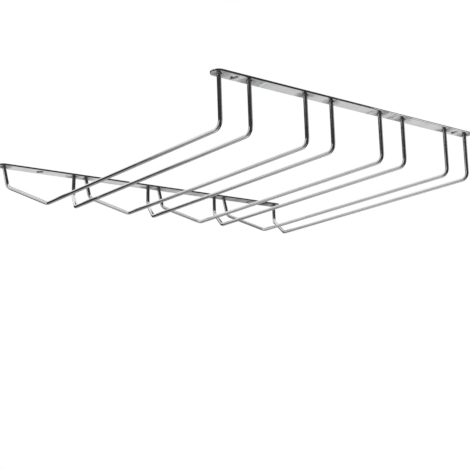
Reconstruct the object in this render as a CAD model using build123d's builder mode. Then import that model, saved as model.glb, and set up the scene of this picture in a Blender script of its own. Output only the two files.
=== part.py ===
from build123d import *

import os
from math import ceil

# Hanging wine glass rack: eight bent wire rails welded under two flat mounting strips.
# Sizes are in millimetres. X runs along the strips, and Y along the rails, from the back strip
# to the front strip, where the glasses go in. Z is up. The origin lies in the mounting plane,
# at the centre of the four screw holes, and the whole rack hangs below it.

# Channels: a pair of rails carries a row of glasses by their feet
channel_count = 4
channel_pitch = 105.0
stem_gap = 31.0  # clear width between the two rails

# Wire
wire_diameter = 4.0
bend_radius = 8.0  # to the centre line of the wire
bend_chord_length = 3.7  # a bend is drawn as short straight lengths, none longer than this

# Rail shape, from the undersides and the centre lines of the strips to the wire's centre line
rail_drop = 48.5
straight_length = 292.0  # from the back strip to where the rail bends out and up
back_lean = 2.4  # the back riser's foot stands this much forward of its weld
mouth_drop = 23.0  # height of the short riser at the mouth
mouth_spacing_at_strip = 16.0  # between the wires of neighbouring mouths, at their welds
mouth_spacing_at_foot = 22.0  # the same at the feet of the short risers
front_lean = 2.0  # the short riser's foot stands this much behind its weld

# Weld collars round the wire's ends
weld_width = 1.2
weld_height = 2.2

# Mounting strips
strip_spacing = 336.0
strip_width = 14.0
strip_thickness = 2.0
strip_overhang = 8.0  # beyond the outermost welds
edge_chamfer = 0.3

# Screw holes
screw_hole_diameter = 4.5
countersink_diameter = 7.7
countersink_angle = 90

# How far a wire's end runs on into the strip before it is trimmed flush
trim_length = 2.0

# Places that the sizes above give
wire_radius = wire_diameter / 2
stem_half = stem_gap / 2 + wire_radius
mouth_half_at_strip = (channel_pitch - mouth_spacing_at_strip) / 2
mouth_half_at_foot = (channel_pitch - mouth_spacing_at_foot) / 2
outer_channel_x = channel_pitch * (channel_count - 1) / 2
back_y = -strip_spacing / 2
front_y = strip_spacing / 2
underside_z = -strip_thickness
rail_z = underside_z - rail_drop


def build_strip(centre_y, outer_weld_x):
    """A flat bar with round ends, broken edges and two screw holes countersunk from below."""
    length = 2 * (outer_weld_x + strip_overhang)
    underside = Plane((0, centre_y, underside_z), x_dir=(1, 0, 0), z_dir=(0, 0, -1))
    with BuildPart() as strip:
        with BuildSketch(underside):
            SlotOverall(length, strip_width)
        extrude(amount=-strip_thickness)
        edges_by_height = strip.edges().group_by(Axis.Z)
        chamfer(edges_by_height[0] + edges_by_height[-1], length=edge_chamfer)
        with Locations(underside):
            with GridLocations(2 * outer_channel_x, 0, 2, 1):
                CounterSinkHole(
                    radius=screw_hole_diameter / 2,
                    counter_sink_radius=countersink_diameter / 2,
                    depth=strip_thickness,
                    counter_sink_angle=countersink_angle,
                )
    return strip.part


def rail_corners(centre_x, side):
    """A rail's centre line: back weld, foot of the back riser, flare, lift and front weld."""
    stem_x = centre_x + side * stem_half
    return [
        Vector(stem_x, back_y, underside_z),
        Vector(stem_x, back_y + back_lean, rail_z),
        Vector(stem_x, back_y + straight_length, rail_z),
        Vector(centre_x + side * mouth_half_at_foot, front_y - front_lean, underside_z - mouth_drop),
        Vector(centre_x + side * mouth_half_at_strip, front_y, underside_z),
    ]


def bend_points(corners):
    """The points of the bent centre line, with each bend cut into short straight lengths."""
    with BuildLine() as smooth:
        FilletPolyline(*corners, radius=bend_radius)
    points = []
    for edge in smooth.wire().order_edges():
        lengths = ceil(edge.length / bend_chord_length) if edge.geom_type == GeomType.CIRCLE else 1
        points += [edge @ (step / lengths) for step in range(lengths)]
    return points + [corners[-1]]


def build_rail(centre_x, side):
    """One bent wire, trimmed flush with both strips, with a weld collar round each end."""
    corners = rail_corners(centre_x, side)
    back_rise = (corners[0] - corners[1]).normalized()
    front_rise = (corners[-1] - corners[-2]).normalized()
    back_end = corners[0] + back_rise * trim_length
    front_end = corners[-1] + front_rise * trim_length
    with BuildPart() as rail:
        with BuildLine():
            Polyline(*bend_points([back_end, *corners[1:-1], front_end]))
        with BuildSketch(Plane(origin=back_end, z_dir=back_rise)):
            Circle(wire_radius)
        sweep(transition=Transition.RIGHT)
        split(bisect_by=Plane.XY.offset(underside_z), keep=Keep.BOTTOM)
        for weld, rise in [(corners[0], back_rise), (corners[-1], front_rise)]:
            with BuildSketch(Plane(origin=weld - rise * weld_height, z_dir=rise)):
                Circle(wire_radius)
            with BuildSketch(Plane(origin=weld)):
                Circle(wire_radius + weld_width)
            loft()
    return rail.part


def export(piece, label):
    """Write one finished piece under its own name."""
    piece.label = label
    export_step(piece, f"parts/{label}.step")


os.makedirs("parts", exist_ok=True)

export(build_strip(back_y, outer_channel_x + stem_half), "back_mounting_strip")
export(build_strip(front_y, outer_channel_x + mouth_half_at_strip), "front_mounting_strip")

for channel in range(channel_count):
    channel_x = channel * channel_pitch - outer_channel_x
    for side, side_name in [(-1, "left"), (1, "right")]:
        export(build_rail(channel_x, side), f"channel_{channel + 1}_{side_name}_rail")
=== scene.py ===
import math

import bmesh
import bpy
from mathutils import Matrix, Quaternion, Vector, noise


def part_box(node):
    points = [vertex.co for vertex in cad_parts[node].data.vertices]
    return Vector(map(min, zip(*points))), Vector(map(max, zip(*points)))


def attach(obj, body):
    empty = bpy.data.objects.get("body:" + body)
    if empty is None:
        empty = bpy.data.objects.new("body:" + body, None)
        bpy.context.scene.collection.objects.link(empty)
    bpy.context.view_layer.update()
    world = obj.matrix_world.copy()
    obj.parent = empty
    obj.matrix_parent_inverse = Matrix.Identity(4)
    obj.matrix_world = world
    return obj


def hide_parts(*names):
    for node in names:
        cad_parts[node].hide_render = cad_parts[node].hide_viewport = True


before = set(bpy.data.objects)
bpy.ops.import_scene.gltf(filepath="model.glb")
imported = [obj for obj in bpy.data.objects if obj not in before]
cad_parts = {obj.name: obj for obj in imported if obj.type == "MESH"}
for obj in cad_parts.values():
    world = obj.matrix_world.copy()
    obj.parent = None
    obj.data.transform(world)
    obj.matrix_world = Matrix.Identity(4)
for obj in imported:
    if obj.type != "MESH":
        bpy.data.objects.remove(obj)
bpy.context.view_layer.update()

# Hanging wine glass rack in chromed steel, dressed over its CAD model. Lengths are in metres, in the
# model's own frame: X along the strips, Y along the rails towards the mouths, Z up.

# Wire
wire_radius = 0.002
wire_overlap = 0.0004  # the wire's ends stand this far inside the strip
wire_sides = 40
bend_radius = 0.008
bend_flattening = 0.03  # how much a bend's section is squeezed, as a share of its radius
bend_step = math.radians(4)

# Rails, from the strips' undersides and centre lines to the wire's centre line
channel_pitch = 0.105
straight_length = 0.292
back_lean = 0.0024
mouth_drop = 0.023
mouth_spread = 0.003  # the mouth is this much wider, each side, at its weld than at its foot
front_lean = 0.002
weld_width = 0.0012
weld_height = 0.0022

# Strips
edge_rounding = 0.0003
hole_radius = 0.00225
countersink_radius = 0.00385
support_width = 0.0003  # flat border that keeps the shading of a flat face true
rim_rounding = 0.00012
rim_middle = 0.4  # depth of the middle ring of a countersink's rim, as a share of its rounding
end_segments = 40
hole_segments = 48
rounding_segments = 5

# Weld beads. A bead's width is a share of weld_width that noise varies round the wire, in broad lumps and
# in ripples.
bead_levels = 9
bead_start = 0.985  # radius of the lowest ring, as a share of the wire's
lump_middle = 0.8
lump_spread = 0.35
lump_density = 1.7
lump_sag = 0.25  # the share of the bead's height that follows its lumps
ripple_height = 0.08
ripple_density = 5
ripple_climb = 3  # how far the ripples' noise moves on from the lowest ring to the highest
# Weld attribute of a bead, which darkens its colour and dulls its plate towards the strip
bead_weld_start = 0.35  # at the lowest ring, from where it grows to 1 at the strip
seed_per_channel = 7.0
seed_per_side = 3.1
seed_per_weld = 1.3

# Chrome plate. Noise scales are in waves per metre, heights in metres, and a pair is a low and a high value.
clean_tint = (0.93, 0.935, 0.945, 1.0)
# Colour the plate darkens to round each weld: painted reflection of the wires and weld beads on the strips,
# darker towards the strip on the wires and beads
weld_dark_tint = (0.20, 0.19, 0.18, 1.0)
noise_range = (0.3, 0.7)  # nearly all values of a noise lie in here
smudge_scale = 60.0
smudge_range = (0.35, 0.75)  # noise values between which the smudges grow
smudge_roughness = (0.02, 0.09)
grain_range = (0.4, 0.8)
grain_roughness = (0.0, 0.04)  # added along the lines of the grain
weld_roughness = 0.22  # added at a weld
wave_scale = 22.0
wave_height = 0.0004
grain_height = 0.00001
grain_strength = 0.08
pit_scale = 2600.0
pit_height = 0.00001
pit_strength = 0.04

# Darkening round the welds: on a strip it is painted reflection of the wires and weld beads; along a wire and
# up a bead it grows towards the strip
weld_reach = 0.008  # along a wire
weld_rings = 4  # rings of the wire's mesh along that stretch
painted_reflection_reach = 0.0115  # on a strip
painted_reflection_unevenness = 0.003
painted_reflection_border_scale = 160.0

# Camera
image_size = 470
focal_length_px = 987.2
sensor_width = 36.0
camera_place = Vector((-0.7055, -0.7741, -0.3155))
camera_aim = Vector((0.6485, 0.7326, 0.2069))
camera_roll = math.radians(3.9)
clip_range = (0.01, 50.0)

# Floor
floor_height = -1.5
floor_radius = 16.0
floor_segments = 128
floor_colour = (0.93, 0.93, 0.93, 1.0)
floor_roughness = 0.9

# Lamps: name, azimuth and elevation in degrees, power in watts, size
lamps = (("key", -70, 55, 24.0, 1.2), ("fill", 150, 40, 10.0, 1.6))
lamp_distance = 2.2

background_colour = (1.0, 1.0, 1.0, 1.0)

# Skylines of the studio that the chrome reflects, as (azimuth, elevation) pairs in degrees. Azimuth 0 is +X
# and 90 is +Y. The camera looks towards 48, and the seam is behind it. A border at -89 is straight below.
seam_azimuth = -120
sweep_top = (
    (-120, -89), (-46, -89), (-40, 20), (-20, 12), (40, 12), (47, 89), (120, 89), (128, 17), (186, 12),
    (196, -89), (240, -89),
)
sweep_foot = (
    (-120, -12), (25, -12), (48, -89), (120, -89), (124, -35), (148, -35), (160, -18), (240, -18),
)
ceiling_foot = (
    (-120, 42), (-35, 40), (-15, 28), (120, 29), (166, 30), (193, 22), (196, 35), (240, 42),
)
flag_top = ((-10, -89), (0, 18), (74, 18), (80, 27), (123, 27), (129, 16), (133, -89))
flag_foot = ((-120, -15), (70, -14), (103, -30), (240, -30))
ground_top = ((-120, -84), (0, -84), (20, -55), (125, -55), (140, -84), (240, -84))

# Brightness of what is lit there and of the dark room, as (elevation, level) pairs
light_levels = (
    (-90, 0.7), (-52, 0.7), (-42, 0.3), (-24, 0.3), (-20, 0.66), (-15, 0.72), (-12, 0.6), (5, 0.7), (10, 0.9),
    (66, 0.9), (74, 0.4), (90, 0.4),
)
room_levels = ((-90, 0.22), (-58, 0.22), (-50, 0.035), (90, 0.035))

# Half the width of a skyline's soft border, in the sine of the elevation
edge_softness = 0.02
foot_softness = 0.04

# Places read from the CAD model
channels = sorted({name.rsplit("_", 2)[0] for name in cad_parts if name.startswith("channel")})
back_low, back_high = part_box("back_mounting_strip")
front_low, front_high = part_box("front_mounting_strip")
back_y = (back_low.y + back_high.y) / 2
front_y = (front_low.y + front_high.y) / 2
underside_z = back_low.z


# Materials

def new_material(name):
    """A metallic node material, with its nodes, its links and its Principled shader."""
    material = bpy.data.materials.new(name)
    material.use_nodes = True
    nodes = material.node_tree.nodes
    shader = nodes["Principled BSDF"]
    shader.inputs["Metallic"].default_value = 1.0
    return material, nodes, material.node_tree.links, shader


def add_noise(nodes, links, vector, scale, detail=4.0, roughness=0.55):
    """A noise texture read at the given vector."""
    texture = nodes.new("ShaderNodeTexNoise")
    texture.inputs["Scale"].default_value = scale
    texture.inputs["Detail"].default_value = detail
    texture.inputs["Roughness"].default_value = roughness
    links.new(vector, texture.inputs["Vector"])
    return texture.outputs["Fac"]


def add_stretch(nodes, links, vector, stretch):
    """The vector, scaled differently along each axis."""
    mapping = nodes.new("ShaderNodeMapping")
    mapping.inputs["Scale"].default_value = stretch
    links.new(vector, mapping.inputs["Vector"])
    return mapping.outputs["Vector"]


def add_range(nodes, links, value, from_low, from_high, to_low, to_high):
    """The value carried from one range to another, clamped."""
    node = nodes.new("ShaderNodeMapRange")
    node.inputs["From Min"].default_value = from_low
    node.inputs["From Max"].default_value = from_high
    node.inputs["To Min"].default_value = to_low
    node.inputs["To Max"].default_value = to_high
    links.new(value, node.inputs["Value"])
    return node.outputs["Result"]


def add_math(nodes, links, operation, first, second):
    """One math node on two values; the second may be a number."""
    node = nodes.new("ShaderNodeMath")
    node.operation = operation
    links.new(first, node.inputs[0])
    if isinstance(second, float):
        node.inputs[1].default_value = second
    else:
        links.new(second, node.inputs[1])
    return node.outputs["Value"]


def add_tint(nodes, links, value, first, second):
    """A colour between two, by the value."""
    ramp = nodes.new("ShaderNodeValToRGB")
    ramp.color_ramp.elements[0].color = first
    ramp.color_ramp.elements[1].color = second
    links.new(value, ramp.inputs["Fac"])
    return ramp.outputs["Color"]


def add_bump(nodes, links, height, distance, strength, under=None):
    """A bump of the height given in metres, over another one if there is one."""
    bump = nodes.new("ShaderNodeBump")
    bump.inputs["Strength"].default_value = strength
    bump.inputs["Distance"].default_value = distance
    links.new(height, bump.inputs["Height"])
    if under:
        links.new(under, bump.inputs["Normal"])
    return bump.outputs["Normal"]


def add_strip_painted_reflection(nodes, links, place, weld_half, strip_y):
    """Painted reflection of the wires and weld beads: from 0 on the plain strip to 1 at its welds, with an
    uneven border.
    """
    split = nodes.new("ShaderNodeSeparateXYZ")
    links.new(place, split.inputs["Vector"])
    # How far X is from halfway between two channels
    between = add_math(nodes, links, "PINGPONG", split.outputs["X"], channel_pitch / 2)
    along = add_math(nodes, links, "ADD", between, weld_half - channel_pitch / 2)
    across = add_math(nodes, links, "ADD", split.outputs["Y"], -strip_y)
    offset = nodes.new("ShaderNodeCombineXYZ")
    links.new(along, offset.inputs["X"])
    links.new(across, offset.inputs["Y"])
    length = nodes.new("ShaderNodeVectorMath")
    length.operation = "LENGTH"
    links.new(offset.outputs["Vector"], length.inputs[0])
    border = add_noise(nodes, links, place, painted_reflection_border_scale)
    border = add_range(nodes, links, border, *noise_range, -painted_reflection_unevenness, painted_reflection_unevenness)
    distance = add_math(nodes, links, "ADD", length.outputs["Value"], border)
    return add_range(nodes, links, distance, painted_reflection_reach, wire_radius, 0.0, 1.0)


def chrome(name, coordinate, grain, weld_darkness, waviness, darkest, strip_welds=None):
    """Chrome plate over drawn or rolled steel: grain, smudges, faint waves, pits, and dull by the welds.

    strip_welds gives add_strip_painted_reflection its last two values, for the painted reflection of the
    wires and weld beads round each of the strip's welds. Without it, the mesh's own attribute says how near
    each place is to a weld.
    """
    material, nodes, links, shader = new_material(name)
    texture = nodes.new("ShaderNodeTexCoord")
    place = texture.outputs["Object"]
    along = add_stretch(nodes, links, texture.outputs[coordinate], grain)
    lines = add_noise(nodes, links, along, 1.0, detail=5.0)
    smudges = add_noise(nodes, links, place, smudge_scale, detail=6.0, roughness=0.65)
    waves = add_noise(nodes, links, place, wave_scale, detail=1.0)
    pits = add_noise(nodes, links, place, pit_scale, detail=2.0)
    if strip_welds:
        weld = add_strip_painted_reflection(nodes, links, place, *strip_welds)
    else:
        attribute = nodes.new("ShaderNodeAttribute")
        attribute.attribute_name = "weld"
        weld = attribute.outputs["Fac"]
    cleanness = add_range(nodes, links, smudges, *noise_range, 0.0, 1.0)
    plate = add_tint(nodes, links, cleanness, darkest, clean_tint)
    # Darker by the welds: on a strip, painted reflection of the wires and weld beads
    weld_darkened = nodes.new("ShaderNodeMix")
    weld_darkened.data_type = "RGBA"
    links.new(add_math(nodes, links, "MULTIPLY", weld, weld_darkness), weld_darkened.inputs["Factor"])
    links.new(plate, weld_darkened.inputs["A"])
    weld_darkened.inputs["B"].default_value = weld_dark_tint
    links.new(weld_darkened.outputs["Result"], shader.inputs["Base Color"])
    dull = add_range(nodes, links, smudges, *smudge_range, *smudge_roughness)
    dull = add_math(nodes, links, "ADD", dull, add_range(nodes, links, lines, *grain_range, *grain_roughness))
    dull = add_math(nodes, links, "ADD", dull, add_math(nodes, links, "MULTIPLY", weld, weld_roughness))
    links.new(dull, shader.inputs["Roughness"])
    normal = add_bump(nodes, links, waves, wave_height, waviness)
    normal = add_bump(nodes, links, lines, grain_height, grain_strength, normal)
    normal = add_bump(nodes, links, pits, pit_height, pit_strength, normal)
    links.new(normal, shader.inputs["Normal"])
    return material


def floor_material():
    """A plain pale floor."""
    material, _, _, shader = new_material("pale_floor")
    shader.inputs["Metallic"].default_value = 0.0
    shader.inputs["Roughness"].default_value = floor_roughness
    shader.inputs["Base Color"].default_value = floor_colour
    return material


# Meshes

def finish_mesh(mesh, name):
    """The mesh as an object in the scene."""
    data = bpy.data.meshes.new(name)
    mesh.to_mesh(data)
    mesh.free()
    piece = bpy.data.objects.new(name, data)
    bpy.context.scene.collection.objects.link(piece)
    return piece


def join_rings(mesh, rings):
    """Faces between each ring and the next."""
    for lower, upper in zip(rings, rings[1:]):
        for corner in range(len(lower)):
            after = (corner + 1) % len(lower)
            mesh.faces.new((lower[corner], lower[after], upper[after], upper[corner])).smooth = True


# Wire shapes

def spokes(across, beside):
    """Unit vectors round a wire, one for each of its sides."""
    angles = [2 * math.pi * corner / wire_sides for corner in range(wire_sides)]
    return [across * math.cos(angle) + beside * math.sin(angle) for angle in angles]


def wire_corners(centre_x, side, stem_half, mouth_half, rail_z):
    """A rail's centre line: back weld, back riser's foot, flare, mouth riser's foot and front weld."""
    stem_x = centre_x + side * stem_half
    foot_x = centre_x + side * (mouth_half - mouth_spread)
    return [
        Vector((stem_x, back_y, underside_z)),
        Vector((stem_x, back_y + back_lean, rail_z)),
        Vector((stem_x, back_y + straight_length, rail_z)),
        Vector((foot_x, front_y - front_lean, underside_z - mouth_drop)),
        Vector((centre_x + side * mouth_half, front_y, underside_z)),
    ]


def bend_stations(before, corner, after):
    """Places round one bend: point, direction, inward side and how far into the bend, from 0 to 1."""
    back = (before - corner).normalized()
    ahead = (after - corner).normalized()
    half = back.angle(ahead) / 2
    turn = math.pi - 2 * half
    inward = (back + ahead).normalized()
    centre = corner + inward * bend_radius / math.sin(half)
    start = corner + back * bend_radius / math.tan(half) - centre
    axis = (-back).cross(ahead).normalized()
    count = math.ceil(turn / bend_step)
    stations = []
    for step in range(count + 1):
        rotation = Quaternion(axis, turn * step / count)
        spoke = rotation @ start
        stations.append((centre + spoke, rotation @ -back, -spoke.normalized(), step / count))
    return stations


def wire_stations(corners):
    """The whole centre line, from end to end, as places for the wire's rings."""
    first = (corners[1] - corners[0]).normalized()
    last = (corners[-1] - corners[-2]).normalized()
    side = first.orthogonal().normalized()
    reaches = [-wire_overlap] + [weld_reach * ring / weld_rings for ring in range(1, weld_rings + 1)]
    stations = [(corners[0] + first * reach, first, side, 0.0) for reach in reaches]
    for before, corner, after in zip(corners, corners[1:], corners[2:]):
        stations += bend_stations(before, corner, after)
    return stations + [(corners[-1] - last * reach, last, side, 0.0) for reach in reversed(reaches)]


def wire_mesh(name, corners):
    """A round wire along its corners, a little flattened in its bends, unrolled onto a UV map."""
    mesh = bmesh.new()
    unrolled = mesh.loops.layers.uv.new("unrolled")
    weld = mesh.verts.layers.float.new("weld")
    stations = wire_stations(corners)
    across = stations[0][1].orthogonal().normalized()
    previous = stations[0][1]
    rings = []
    travelled = [0.0]
    for number, (point, direction, inward, share) in enumerate(stations):
        across = previous.rotation_difference(direction) @ across
        squeeze = bend_flattening * math.sin(math.pi * share)
        ring = []
        for spoke in spokes(across, direction.cross(across)):
            flat = 1 - squeeze * (2 * abs(spoke.dot(inward)) - 1)
            vertex = mesh.verts.new(point + spoke * wire_radius * flat)
            distance = min((vertex.co - corners[0]).length, (vertex.co - corners[-1]).length)
            vertex[weld] = max(0.0, 1 - distance / weld_reach)
            ring.append(vertex)
        rings.append(ring)
        if number:
            travelled.append(travelled[-1] + (point - stations[number - 1][0]).length)
        previous = direction
    girth = 2 * math.pi * wire_radius
    for number, (lower, upper) in enumerate(zip(rings, rings[1:])):
        for corner in range(wire_sides):
            after = (corner + 1) % wire_sides
            face = mesh.faces.new((lower[corner], lower[after], upper[after], upper[corner]))
            face.smooth = True
            shares = (corner, corner + 1, corner + 1, corner)
            ends = (number, number, number + 1, number + 1)
            for loop, turn, end in zip(face.loops, shares, ends):
                loop[unrolled].uv = (girth * turn / wire_sides, travelled[end])
    mesh.faces.new(reversed(rings[0]))
    mesh.faces.new(rings[-1])
    return finish_mesh(mesh, name)


def weld_mesh(name, place, direction, seed):
    """The bead round a wire's end: a lumpy fillet up to the strip."""
    mesh = bmesh.new()
    weld = mesh.verts.layers.float.new("weld")
    across = direction.orthogonal().normalized()
    rings = []
    for level in range(bead_levels + 1):
        share = level / bead_levels
        swell = 1 - math.cos(share * math.pi / 2)
        rise = 1 - math.sin(share * math.pi / 2)
        ring = []
        for spoke in spokes(across, direction.cross(across)):
            lump = noise.noise(spoke * lump_density + Vector((seed, 0, 0))) * lump_spread + lump_middle
            ripple_place = spoke * ripple_density + Vector((seed, share * ripple_climb, 0))
            ripple = noise.noise(ripple_place) * ripple_height * math.sin(share * math.pi)
            reach = wire_radius * bead_start + weld_width * (swell * lump + ripple)
            fall = direction * weld_height * rise * (1 - lump_sag + lump * lump_sag)
            vertex = mesh.verts.new(place + spoke * reach - fall)
            vertex.co.z = min(vertex.co.z, underside_z)
            vertex[weld] = bead_weld_start + (1 - bead_weld_start) * share
            ring.append(vertex)
        rings.append(ring)
    join_rings(mesh, rings)
    mesh.faces.new(rings[-1])
    mesh.faces.new(reversed(rings[0]))
    return finish_mesh(mesh, name)


# Strip shapes

def slot_outline(mesh, low, high, inset, height):
    """A ring of vertices round the strip, set in from its outline."""
    radius = (high.y - low.y) / 2
    centre_y = (high.y + low.y) / 2
    ring = []
    for end_x, start in ((high.x - radius, -math.pi / 2), (low.x + radius, math.pi / 2)):
        for step in range(end_segments + 1):
            angle = start + math.pi * step / end_segments
            x = end_x + (radius - inset) * math.cos(angle)
            y = centre_y + (radius - inset) * math.sin(angle)
            ring.append(mesh.verts.new((x, y, height)))
    return ring


def hole_outline(mesh, centre_x, centre_y, radius, height):
    """A ring of vertices round a screw hole."""
    ring = []
    for step in range(hole_segments):
        angle = 2 * math.pi * step / hole_segments
        x = centre_x + radius * math.cos(angle)
        y = centre_y + radius * math.sin(angle)
        ring.append(mesh.verts.new((x, y, height)))
    return ring


def ring_edges(mesh, ring):
    """The edges that close a ring."""
    return [mesh.edges.get((ring[corner], ring[(corner + 1) % len(ring)])) for corner in range(len(ring))]


def rolled_profile(thickness):
    """Inset and height of each ring round the strip's rolled edge, from its underside to its top."""
    profile = [(edge_rounding + support_width, -thickness)]
    for step in range(rounding_segments + 1):
        angle = math.pi / 2 * step / rounding_segments
        inset = edge_rounding * (1 - math.sin(angle))
        profile.append((inset, -thickness + edge_rounding * (1 - math.cos(angle))))
    for inset, height in reversed(profile[:]):
        profile.append((inset, -thickness - height))
    return profile


def hole_profile(thickness):
    """Radius and height of each ring up a countersunk hole, from the underside to the top."""
    cone = countersink_radius - hole_radius
    return [
        (countersink_radius + rim_rounding + support_width, -thickness),
        (countersink_radius + rim_rounding, -thickness),
        (countersink_radius, -thickness + rim_rounding * rim_middle),
        (countersink_radius - rim_rounding, -thickness + rim_rounding),
        (hole_radius + rim_rounding, -thickness + cone - rim_rounding),
        (hole_radius, -thickness + cone + rim_rounding),
        (hole_radius, -rim_rounding),
        (hole_radius + rim_rounding, 0.0),
        (hole_radius + rim_rounding + support_width, 0.0),
    ]


def strip_mesh(name, low, high, holes_x):
    """A flat bar with round ends, rolled edges and countersunk holes, as one mesh."""
    mesh = bmesh.new()
    thickness = high.z - low.z
    centre_y = (low.y + high.y) / 2
    outline = [
        slot_outline(mesh, low, high, inset, high.z + height) for inset, height in rolled_profile(thickness)
    ]
    join_rings(mesh, outline)
    holes = []
    for centre_x in holes_x:
        rings = [
            hole_outline(mesh, centre_x, centre_y, radius, high.z + height)
            for radius, height in hole_profile(thickness)
        ]
        join_rings(mesh, rings)
        holes.append(rings)
    for end in (0, -1):
        border = ring_edges(mesh, outline[end])
        for rings in holes:
            border += ring_edges(mesh, rings[end])
        bmesh.ops.triangle_fill(mesh, use_beauty=True, use_dissolve=False, edges=border)
    bmesh.ops.recalc_face_normals(mesh, faces=mesh.faces[:])
    for face in mesh.faces:
        face.smooth = True
    return finish_mesh(mesh, name)


# The rack

def dress_strip(node, holes_x, material):
    """The strip's finished shape, in place of its CAD node."""
    low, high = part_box(node)
    piece = strip_mesh(f"{node}_chromed", low, high, holes_x)
    piece.data.materials.append(material)
    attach(piece, "root")
    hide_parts(node)


def weld_places(node, centre_x):
    """How far a rail's back weld and front weld are from the middle of its channel."""
    low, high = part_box(node)
    near, far = sorted((abs(low.x - centre_x), abs(high.x - centre_x)))
    collar_radius = wire_radius + weld_width
    return near + collar_radius, far - collar_radius


def dress_rail(node, centre_x, side, seed, wire, bead):
    """One rail's wire and its two weld beads, in place of the CAD node."""
    low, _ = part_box(node)
    stem_half, mouth_half = weld_places(node, centre_x)
    corners = wire_corners(centre_x, side, stem_half, mouth_half, low.z + wire_radius)
    piece = wire_mesh(f"{node}_wire", corners)
    piece.data.materials.append(wire)
    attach(piece, "root")
    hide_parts(node)
    for end, other, place in ((corners[0], corners[1], "back"), (corners[-1], corners[-2], "mouth")):
        weld = weld_mesh(f"{node}_{place}_weld", end, (end - other).normalized(), seed)
        weld.data.materials.append(bead)
        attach(weld, "root")
        seed += seed_per_weld


def dress_rack():
    """Every strip and rail."""
    wire = chrome(
        "wire_chrome_plate", coordinate="UV", grain=(2600.0, 30.0, 1.0), weld_darkness=0.35, waviness=0.2,
        darkest=(0.84, 0.845, 0.85, 1.0),
    )
    bead = chrome(
        "weld_chrome_plate", coordinate="Object", grain=(900.0, 900.0, 900.0), weld_darkness=0.8,
        waviness=0.25, darkest=(0.72, 0.72, 0.72, 1.0),
    )
    centres = []
    for number, channel in enumerate(channels):
        left_low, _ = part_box(f"{channel}_left_rail")
        _, right_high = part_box(f"{channel}_right_rail")
        centre_x = (left_low.x + right_high.x) / 2
        centres.append(centre_x)
        seed = number * seed_per_channel
        dress_rail(f"{channel}_left_rail", centre_x, -1, seed, wire, bead)
        dress_rail(f"{channel}_right_rail", centre_x, 1, seed + seed_per_side, wire, bead)
    stem_half, mouth_half = weld_places(f"{channels[0]}_left_rail", centres[0])
    for node, place_y, weld_half in (
        ("back_mounting_strip", back_y, stem_half), ("front_mounting_strip", front_y, mouth_half),
    ):
        # Round each weld the strip's colour darkens: painted reflection of the wires and weld beads
        strip = chrome(
            f"{node}_plate", coordinate="Object", grain=(40.0, 2500.0, 2500.0), weld_darkness=0.6,
            waviness=0.6, darkest=(0.70, 0.705, 0.71, 1.0), strip_welds=(weld_half, place_y),
        )
        dress_strip(node, (centres[0], centres[-1]), strip)


# Set, light and camera

def make_floor():
    """A wide pale floor, far below the rack."""
    mesh = bmesh.new()
    bmesh.ops.create_circle(mesh, cap_ends=True, segments=floor_segments, radius=floor_radius)
    floor = finish_mesh(mesh, "floor")
    floor.location.z = floor_height
    floor.data.materials.append(floor_material())
    floor.visible_glossy = False  # the world stands for it there


def direction_of(azimuth, elevation):
    """The unit vector at an azimuth from +X and an elevation, both in degrees."""
    turn, rise = math.radians(azimuth), math.radians(elevation)
    return Vector((math.cos(turn) * math.cos(rise), math.sin(turn) * math.cos(rise), math.sin(rise)))


def sine(degrees):
    """The sine of an angle in degrees."""
    return math.sin(math.radians(degrees))


def add_curve(nodes, links, place, stops, low, high):
    """A level that follows a value through (value, level) pairs. The values run from low to high."""
    ramp = nodes.new("ShaderNodeValToRGB")
    elements = ramp.color_ramp.elements
    while len(elements) < len(stops):
        elements.new(0.5)
    for element, (value, level) in zip(elements, stops):
        element.position = (value - low) / (high - low)
        element.color = (level, level, level, 1.0)
    links.new(add_range(nodes, links, place, low, high, 0.0, 1.0), ramp.inputs["Fac"])
    return ramp.outputs["Color"]


def add_skyline(nodes, links, azimuth, stops):
    """The sine of an elevation that changes with the azimuth."""
    levels = [(value, (sine(elevation) + 1) / 2) for value, elevation in stops]
    curve = add_curve(nodes, links, azimuth, levels, seam_azimuth, seam_azimuth + 360)
    return add_range(nodes, links, curve, 0.0, 1.0, -1.0, 1.0)


def add_levels(nodes, links, height, stops):
    """The brightness at a height, which is the sine of an elevation."""
    levels = [(sine(elevation), level) for elevation, level in stops]
    return add_curve(nodes, links, height, levels, -1.0, 1.0)


def add_azimuth(nodes, links, split):
    """The azimuth in degrees, from the seam up."""
    seam = direction_of(seam_azimuth + 180, 0)
    x, y = split.outputs["X"], split.outputs["Y"]
    forward = add_math(
        nodes, links, "ADD",
        add_math(nodes, links, "MULTIPLY", x, seam.x), add_math(nodes, links, "MULTIPLY", y, seam.y),
    )
    sideways = add_math(
        nodes, links, "SUBTRACT",
        add_math(nodes, links, "MULTIPLY", y, seam.x), add_math(nodes, links, "MULTIPLY", x, seam.y),
    )
    turn = add_math(nodes, links, "ARCTAN2", sideways, forward)
    return add_range(nodes, links, turn, -math.pi, math.pi, seam_azimuth, seam_azimuth + 360.0)


def add_above(nodes, links, height, skyline, softness):
    """1 above a skyline and 0 below it."""
    difference = add_math(nodes, links, "SUBTRACT", height, skyline)
    return add_range(nodes, links, difference, -softness, softness, 0.0, 1.0)


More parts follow.
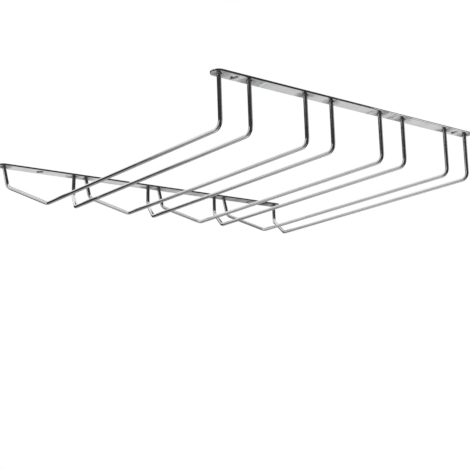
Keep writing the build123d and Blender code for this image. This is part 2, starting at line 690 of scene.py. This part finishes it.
def make_world():
    """White all round to the camera, while the chrome reflects a studio.

    Its white sweep is low on both sides and tall ahead, where a black flag stands across it at the rack's
    height. Above is a pale ceiling, and below it, ahead, pale ground. The rest is a dark room.
    """
    world = bpy.data.worlds.new("studio")
    world.use_nodes = True
    bpy.context.scene.world = world
    nodes, links = world.node_tree.nodes, world.node_tree.links
    split = nodes.new("ShaderNodeSeparateXYZ")
    links.new(nodes.new("ShaderNodeTexCoord").outputs["Generated"], split.inputs["Vector"])
    height = split.outputs["Z"]
    azimuth = add_azimuth(nodes, links, split)
    over_top = add_above(nodes, links, height, add_skyline(nodes, links, azimuth, sweep_top), edge_softness)
    over_foot = add_above(nodes, links, height, add_skyline(nodes, links, azimuth, sweep_foot), foot_softness)
    sweep = add_math(nodes, links, "SUBTRACT", over_foot, over_top)
    ceiling = add_above(nodes, links, height, add_skyline(nodes, links, azimuth, ceiling_foot), foot_softness)
    over_flag = add_above(nodes, links, height, add_skyline(nodes, links, azimuth, flag_top), edge_softness)
    under_flag = add_above(nodes, links, add_skyline(nodes, links, azimuth, flag_foot), height, edge_softness)
    clear = add_math(nodes, links, "MAXIMUM", over_flag, under_flag)
    lit = add_math(nodes, links, "MULTIPLY", add_math(nodes, links, "MAXIMUM", sweep, ceiling), clear)
    ground = add_above(nodes, links, add_skyline(nodes, links, azimuth, ground_top), height, foot_softness)
    lit = add_math(nodes, links, "MAXIMUM", lit, ground)
    light = add_math(nodes, links, "MULTIPLY", add_levels(nodes, links, height, light_levels), lit)
    light = add_math(nodes, links, "MAXIMUM", light, add_levels(nodes, links, height, room_levels))
    path = nodes.new("ShaderNodeLightPath")
    mix = nodes.new("ShaderNodeMix")
    mix.data_type = "RGBA"
    links.new(path.outputs["Is Glossy Ray"], mix.inputs["Factor"])
    mix.inputs["A"].default_value = background_colour
    links.new(light, mix.inputs["B"])
    links.new(mix.outputs["Result"], nodes["Background"].inputs["Color"])
    nodes["Background"].inputs["Strength"].default_value = 1.0


def make_lamps():
    """Two large soft lamps that light the floor; the chrome takes its light from the world."""
    for name, azimuth, elevation, power, size in lamps:
        lamp = bpy.data.lights.new(name, "AREA")
        lamp.energy = power
        lamp.size = size
        piece = bpy.data.objects.new(name, lamp)
        piece.location = direction_of(azimuth, elevation) * lamp_distance
        piece.rotation_mode = "QUATERNION"
        piece.rotation_quaternion = piece.location.to_track_quat("Z", "Y")
        piece.visible_glossy = False
        bpy.context.scene.collection.objects.link(piece)


def make_camera():
    """The photograph's viewing angle."""
    camera = bpy.data.cameras.new("camera")
    camera.sensor_width = sensor_width
    camera.lens = focal_length_px / image_size * sensor_width
    camera.clip_start, camera.clip_end = clip_range
    piece = bpy.data.objects.new("camera", camera)
    piece.location = camera_place
    piece.rotation_mode = "QUATERNION"
    piece.rotation_quaternion = Quaternion(camera_aim, camera_roll) @ camera_aim.to_track_quat("-Z", "Y")
    bpy.context.scene.collection.objects.link(piece)
    bpy.context.scene.camera = piece


bpy.context.scene.view_settings.view_transform = "Standard"
make_camera()
dress_rack()
make_floor()
make_world()
make_lamps()
